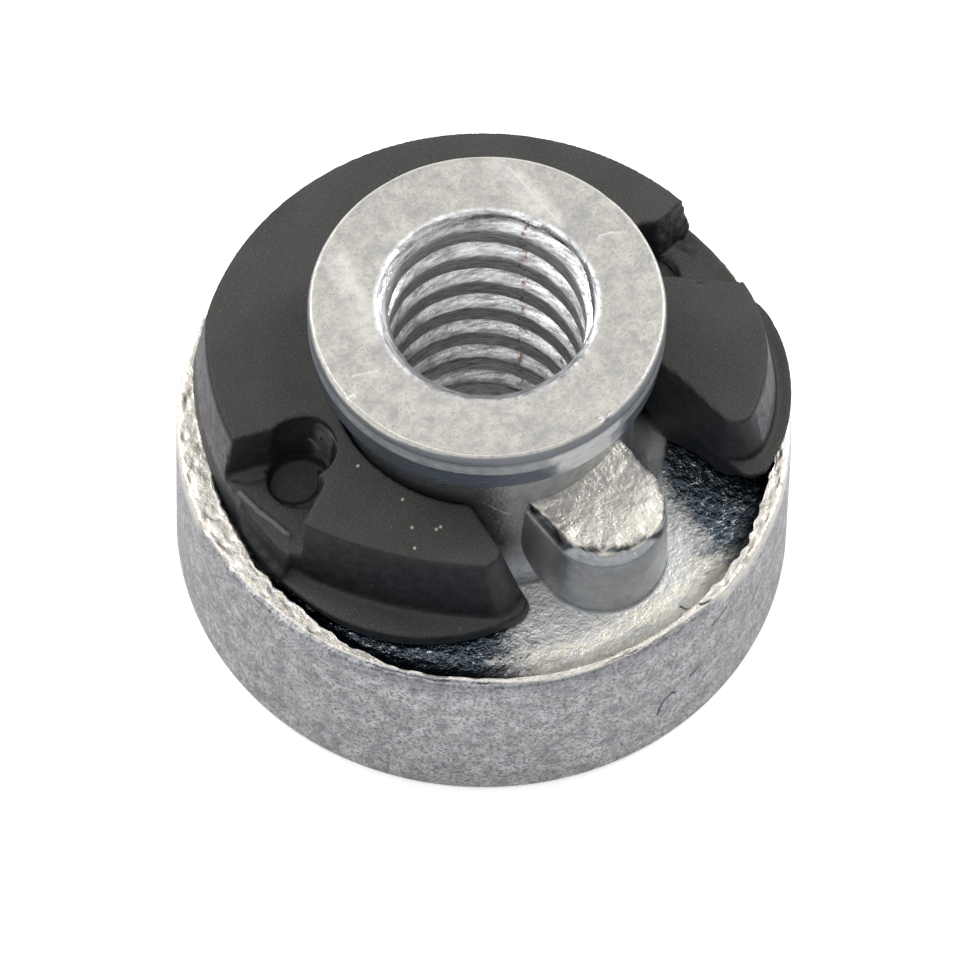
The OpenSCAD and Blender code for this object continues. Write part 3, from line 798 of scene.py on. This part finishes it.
def cast_zinc():
    """Satin zinc: speckled sides, a dull mottled face, bright worn edges with a painted highlight on the
    collar's bevel, a darker smooth as-cast surface on the neck, collar and lug painted dark as reflection
    and shade, painted light patches, and a dish that is mirror-like and painted dark before the fingers as
    their reflection."""
    n = Nodes("cast_zinc")
    names = ("face", "worn", "dish", "dark", "cream", "skin_painted_dark", "band", "bore", "side")
    face, worn, dish, dark, cream, skin_painted_dark, band, in_bore, side = (n.mark(name) for name in names)
    lit = n.mark("lit")
    fine = n.noise(0.09, 3, 0.7)
    patchy = n.noise(0.45, 5, 0.72)
    crackle = n.noise(0.2, 4, 0.7)
    # The dish's dark mark is a painted reflection of the black fingers, given a ragged border.
    finger_reflection = dark
    dark = n.ramp(n.sum("ADD", dark, n.sum("MULTIPLY", crackle, 1.5)), 0.95, 1.6)
    cloud = n.noise(1.3, 3, 0.5)
    colour = n.blend(n.ramp(cloud, 0.3, 0.7), (0.58, 0.59, 0.60), (0.70, 0.70, 0.70))
    speckled = n.blend(n.ramp(patchy, 0.36, 0.62), (0.33, 0.33, 0.345), (0.66, 0.66, 0.68))
    speckled = n.blend(n.ramp(fine, 0.42, 0.50, 0.9, 0), speckled, (0.21, 0.21, 0.22))
    pits = n.ramp(n.spots(0.33, "Distance"), 0.08, 0.16, 1, 0)
    pits = n.sum("MULTIPLY", pits, n.ramp(patchy, 0.5, 0.56, 1, 0))
    speckled = n.blend(n.sum("MULTIPLY", pits, 0.8), speckled, (0.15, 0.15, 0.16))
    colour = n.blend(side, colour, speckled)
    mottled = n.blend(n.ramp(patchy, 0.36, 0.62), (0.45, 0.445, 0.435), (0.66, 0.63, 0.57))
    mottled = n.blend(n.ramp(fine, 0.36, 0.46, 0.6, 0), mottled, (0.36, 0.36, 0.36))
    colour = n.blend(face, colour, mottled)
    # The neck, collar and lug sides are painted darker as the black retainer's reflection and as shade.
    skin_painted_dark_colour = n.blend(n.ramp(patchy, 0.35, 0.65), (0.28, 0.30, 0.33), (0.42, 0.43, 0.45))
    colour = n.blend(skin_painted_dark, colour, skin_painted_dark_colour)
    # Painted light on the lug's left side, the collar's patch and the neck's foot; then painted dark
    # reflection and shade on the collar, the bevel's lower part and the lug's sides, with the darker unworn
    # rim at the front.
    colour = n.blend(lit, colour, (0.95, 0.95, 0.94))
    colour = n.blend(band, colour, (0.10, 0.12, 0.15))
    floor = n.blend(n.ramp(patchy, 0.35, 0.6), (0.78, 0.785, 0.78), (0.97, 0.95, 0.91))
    floor = n.blend(n.sum("MULTIPLY", cream, n.ramp(patchy, 0.35, 0.5)), floor, (1.0, 0.95, 0.84))
    floor = n.blend(n.ramp(crackle, 0.38, 0.31, 0, 0.6), floor, (0.22, 0.23, 0.24))
    # Before the fingers the dish is painted dark navy as their reflection, broken by painted glints.
    glints = n.ramp(crackle, 0.56, 0.62, 0, 0.6)
    floor = n.blend(n.sum("MULTIPLY", dark, n.sum("SUBTRACT", 1.0, glints)), floor, (0.11, 0.145, 0.18))
    colour = n.blend(dish, colour, floor)
    # Pale wear on the rim and the lug's top, which on the collar bevel's top is also a painted highlight.
    patina = n.ramp(crackle, 0.36, 0.52, 0.1, 1.0)
    colour = n.blend(n.sum("MULTIPLY", worn, patina), colour, (0.84, 0.79, 0.70))
    # The bore's streaks are painted glints along the thread, from dark grey to white.
    streaks = n.noise(0.5, 4, 0.7, (1, 1, 9))
    bore_glints = n.blend(n.ramp(streaks, 0.36, 0.6), (0.36, 0.37, 0.39), (1.0, 1.0, 1.0))
    colour = n.blend(in_bore, colour, bore_glints)
    rust = n.sum("MULTIPLY", n.mark("seam"), n.ramp(n.noise(0.16, 3, 0.6), 0.5, 0.6))
    colour = n.blend(rust, colour, (0.30, 0.17, 0.11))
    waver = n.shaky(0.25, 0.03)
    # The cracks and the chip are dark lines, and the lug's lines from the mark are painted shade.
    lines = n.sum("MAXIMUM", n.lines(waver, 0.06, *CRACKS, CHIP), n.mark("line"))
    colour = n.blend(n.sum("MULTIPLY", lines, 0.95), colour, (0.04, 0.045, 0.055))
    pale = n.sum("MAXIMUM", n.lines(waver, 0.05, NECK_FLASH, CURL, *SCORES), n.mark("ridge"))
    rubbed = n.sum("MULTIPLY", n.mark("rub"), n.ramp(patchy, 0.3, 0.6, 0.15, 0.6))
    pale = n.sum("MAXIMUM", n.sum("MULTIPLY", pale, 0.7), n.sum("MULTIPLY", rubbed, 0.8))
    colour = n.blend(pale, colour, (0.86, 0.84, 0.80))
    rough = n.ramp(fine, 0.3, 0.7, 0.38, 0.5)
    rough = n.sum("ADD", rough, n.sum("MULTIPLY", face, 0.06))
    rough = n.sum("ADD", rough, n.sum("MULTIPLY", cream, 0.08))
    rough = n.sum("ADD", rough, n.sum("MULTIPLY", lit, 0.3))
    rough = n.sum("SUBTRACT", rough, n.sum("MULTIPLY", n.sum("MULTIPLY", dark, dish), 0.3))
    rough = n.sum("ADD", rough, n.sum("MULTIPLY", n.mark("crest"), 0.22))
    rough = n.sum("SUBTRACT", rough, n.sum("MULTIPLY", in_bore, 0.25))
    normal = n.bump(fine, 0.02)
    share = n.sum("ADD", n.sum("MULTIPLY", dish, 0.22), n.sum("MULTIPLY", finger_reflection, 0.2))
    share = n.sum("ADD", n.sum("ADD", share, n.sum("MULTIPLY", worn, 0.25)), 0.06)
    normal = n.bump(n.sum("MULTIPLY", n.noise(0.3, 3, 0.6), share), 0.16, normal)
    return n.finish(colour, 1.0, rough, normal)


def in_pocket(*places):
    """A line through (distance, turn, height) places about the left pocket's middle."""
    middle = on_axis(*LEFT_POCKET_AT, 0.0)
    return [middle + on_axis(*place) for place in places]


def floor_arc(middle, radius, start, end, count=8):
    """Places along an arc on the pocket's floor: m + r (cos a, sin a)."""
    turns = np.linspace(start, end, count)
    return list(on_axis(*middle, RING_POCKET_Z) + on_axis(radius, turns, 0.0))


# Lines on the moulding: painted shade round the left pocket's floor, along its mouth and along a step on
# the left notch's floor, and tears in the right notch.
POCKET = [on_axis(6.14, 161.7, RING_NOTCH_Z), *floor_arc((5.46, 164), 0.73, 155, 344)]
POCKET_MOUTH = in_pocket((0.92, 110, 6.55), (0.86, 98, 7.4), (0.86, 67, 7.65), (0.92, 41, 7.65),
                         (0.98, 11, 7.65), (0.98, -24, 7.7))
STEP = stroke((7.15, 161, 6.09), (6.65, 163, RING_NOTCH_Z), (6.2, 163.5, 6.09))
TEARS = [
    stroke((6.25, 9, 7.65), (6.45, 7.5, 7.7), (6.75, 6.8, 7.3), (6.95, 6, 6.75), (6.85, 5.6, 6.45),
           (6.55, 5.7, 6.2)),
    stroke((6.8, 5.7, 6.65), (7.2, 5.1, 6.13), (7.3, 2, 6.11)),
    stroke((6.75, -3, 6.25), (6.25, -8.3, 6.3)),
    stroke((6.3, -11.7, RING_TOP), (6.45, -12.7, RING_TOP)),
]
GLINTS = [
    in_pocket((0.88, 34, 6.7), (0.87, 19, 6.45)),
    in_pocket((0.86, 9, 6.15), (0.75, -8, 5.9)),
    in_pocket((0.97, -3, 7.5), (0.98, -32, 7.6)),
]
SPECKS = [
    # radius and angle of each pale speck on the left finger
    (5.1, -150.5), (4.95, -143.5), (4.85, -142.5), (5.65, -147.5), (4.45, -157.5), (4.4, -177.5),
]


def black_elastomer():
    """Matte grey-black: a paler top with fine grain, upright faces painted darker for shade, pitted flanks
    painted a pale lilac as a sheen, painted shade round the left pocket and on a step, and painted
    highlights on the pocket's wall and the line of flash.
    """
    n = Nodes("black_elastomer")
    top, flank = n.mark("top"), n.mark("flank")
    cloud = n.noise(1.6, 3, 0.5)
    grain = n.noise(0.06, 2, 0.7)
    patchy = n.noise(0.35, 3, 0.7)
    # The upright faces are painted darker than the top, as shade.
    wall_shade_colour = n.blend(n.ramp(patchy, 0.35, 0.65), (0.012, 0.014, 0.017), (0.027, 0.028, 0.032))
    pale = n.blend(n.ramp(cloud, 0.3, 0.7), (0.047, 0.047, 0.045), (0.060, 0.059, 0.056))
    pale = n.blend(n.ramp(grain, 0.54, 0.66, 0, 0.5), pale, (0.13, 0.125, 0.115))
    colour = n.blend(top, wall_shade_colour, pale)
    # The outward flanks are painted pale lilac as a sheen, with real pits.
    flank_sheen = n.blend(n.ramp(patchy, 0.36, 0.6), (0.060, 0.060, 0.066), (0.13, 0.125, 0.14))
    pits = n.sum("MULTIPLY", n.ramp(n.spots(0.3, "Distance"), 0.12, 0.2, 1, 0), n.ramp(cloud, 0.4, 0.5))
    pits = n.sum("MULTIPLY", pits, flank)
    flank_sheen = n.blend(pits, flank_sheen, (0.02, 0.02, 0.022))
    colour = n.blend(flank, colour, flank_sheen)
    dots = n.sum("MULTIPLY", n.ramp(n.spots(0.4, "Distance"), 0.05, 0.09, 1, 0), n.ramp(patchy, 0.56, 0.6))
    colour = n.blend(n.sum("MULTIPLY", dots, 0.6), colour, (0.28, 0.27, 0.24))
    specks = n.lines(n.place, 0.05, *[stroke((r, a, RING_TOP), (r + 0.02, a, RING_TOP)) for r, a in SPECKS])
    colour = n.blend(specks, colour, (0.5, 0.48, 0.42))
    waver = n.shaky(0.25, 0.04)
    # Painted shade round the left pocket's floor and mouth and along the step, and the tears' dark lines.
    dark = n.sum("MAXIMUM", n.lines(waver, 0.08, POCKET, POCKET_MOUTH), n.lines(waver, 0.07, STEP, *TEARS))
    colour = n.blend(n.sum("MULTIPLY", dark, 0.9), colour, (0.008, 0.008, 0.009))
    # Painted highlights on the line of flash and on the left pocket's wall.
    ridge = stroke(*[(r, a, RING_NOTCH_Z + 0.05) for r, a in FLASH])
    bright = n.sum("MAXIMUM", n.lines(waver, 0.09, ridge), n.lines(waver, 0.1, *GLINTS))
    colour = n.blend(n.sum("MULTIPLY", bright, 0.6), colour, (0.22, 0.21, 0.2))
    rough = n.sum("ADD", n.ramp(grain, 0.3, 0.7, 0.44, 0.56), n.sum("MULTIPLY", top, 0.2))
    normal = n.bump(grain, 0.012)
    normal = n.bump(patchy, 0.03, normal)
    normal = n.bump(n.sum("SUBTRACT", 1.0, pits), 0.04, normal)
    return n.finish(colour, 0.0, rough, normal, 0.27)


# ---- Camera ----
SHOT_PX = 980
LOOK_DEG, TURN_DEG, ROLL_DEG = 59.85, -130.0, -1.564
FAR_MM, PX_PER_MM = 162.0, 36.54
CENTRE_PX = (481.5, 519.6)


def make_camera():
    """Looks down at the part from over the lug's left, rolled a little."""
    e, a, roll = map(math.radians, (LOOK_DEG, TURN_DEG, ROLL_DEG))
    back = Vector((math.cos(e) * math.cos(a), math.cos(e) * math.sin(a), math.sin(e)))
    right = Vector((-math.sin(a), math.cos(a), 0))
    up = back.cross(right)
    camera = bpy.data.objects.new("camera", bpy.data.cameras.new("camera"))
    bpy.context.collection.objects.link(camera)
    rolled_right = right * math.cos(roll) - up * math.sin(roll)
    rolled_up = right * math.sin(roll) + up * math.cos(roll)
    place = Matrix((rolled_right, rolled_up, back)).transposed().to_4x4()
    place.translation = back * FAR_MM * MM
    camera.matrix_world = place
    lens = camera.data
    lens.sensor_width = 36
    lens.lens = PX_PER_MM * FAR_MM / SHOT_PX * lens.sensor_width
    lens.shift_x = (SHOT_PX / 2 - CENTRE_PX[0]) / SHOT_PX
    lens.shift_y = (CENTRE_PX[1] - SHOT_PX / 2) / SHOT_PX
    lens.clip_start, lens.clip_end = 0.01, 10
    bpy.context.scene.camera = camera


# ---- Floor and light ----
def make_floor():
    """A wide pale floor that shows white to the camera but keeps the part's soft shadow."""
    half = 0.6
    mesh = bpy.data.meshes.new("floor")
    corners = [(-half, -half, 0), (half, -half, 0), (half, half, 0), (-half, half, 0)]
    mesh.from_pydata(corners, [], [(0, 1, 2, 3)])
    floor = bpy.data.objects.new("floor", mesh)
    bpy.context.collection.objects.link(floor)
    n = Nodes("floor")
    n.shader.inputs["Base Color"].default_value = (0.8, 0.8, 0.8, 1)
    n.shader.inputs["Roughness"].default_value = 0.9
    n.shader.inputs["Specular IOR Level"].default_value = 0.0
    n.shader.inputs["Emission Color"].default_value = (1, 1, 1, 1)
    ray = n.tree.nodes.new("ShaderNodeLightPath").outputs
    glow = n.sum("MULTIPLY", ray["Is Camera Ray"], 0.5)
    glow = n.sum("ADD", glow, n.sum("MULTIPLY", ray["Is Glossy Ray"], 0.05))
    n.link(glow, n.shader.inputs["Emission Strength"])
    mesh.materials.append(n.material)
    return floor


def make_sky():
    """Soft light from all round, brighter overhead."""
    world = bpy.data.worlds.new("studio")
    world.use_nodes = True
    bpy.context.scene.world = world
    tree = world.node_tree
    new = tree.nodes.new
    background = tree.nodes["Background"]
    split = new("ShaderNodeSeparateXYZ")
    tree.links.new(new("ShaderNodeTexCoord").outputs["Generated"], split.inputs[0])
    height = new("ShaderNodeMapRange")
    for socket, number in zip(("From Min", "From Max", "To Min", "To Max"), (-0.1, 1.0, SKY_LOW, SKY_HIGH)):
        height.inputs[socket].default_value = number
    tree.links.new(split.outputs["Z"], height.inputs["Value"])
    tree.links.new(height.outputs["Result"], background.inputs["Strength"])
    background.inputs["Color"].default_value = (1, 1, 1, 1)


SKY_LOW, SKY_HIGH = 0.06, 1.12
LAMPS = [
    # name, direction (angle, height above the floor), distance, size, strength in watts
    ("key", (165, 55), 0.30, 0.14, 0.08),
    ("back left", (106, 27), 0.30, 0.09, 0.36),
    ("back right", (-6, 27), 0.30, 0.09, 0.42),
]


def make_lamps():
    """Large square lamps that look at the middle of the part."""
    middle = Vector((0, 0, 0.006))
    for name, (angle, height), distance, size, watts in LAMPS:
        light = bpy.data.lights.new(name, "AREA")
        light.size, light.energy = size, watts
        lamp = bpy.data.objects.new(name, light)
        bpy.context.collection.objects.link(lamp)
        a, h = math.radians(angle), math.radians(height)
        aim = Vector((math.cos(h) * math.cos(a), math.cos(h) * math.sin(a), math.sin(h)))
        lamp.location = middle + aim * distance
        lamp.rotation_euler = aim.to_track_quat("Z", "Y").to_euler()


# ---- Scene ----
def dress(piece, node, material):
    """Puts a piece on the part's body in place of a solid, with its material."""
    piece.data.materials.clear()
    piece.data.materials.append(material)
    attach(piece, "root")
    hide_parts(node)


dress(make_casting(), "cast_nut", cast_zinc())
dress(make_retainer(), "retainer_ring", black_elastomer())
make_floor()
make_camera()
make_sky()
make_lamps()
bpy.context.scene.view_settings.view_transform = "Standard"
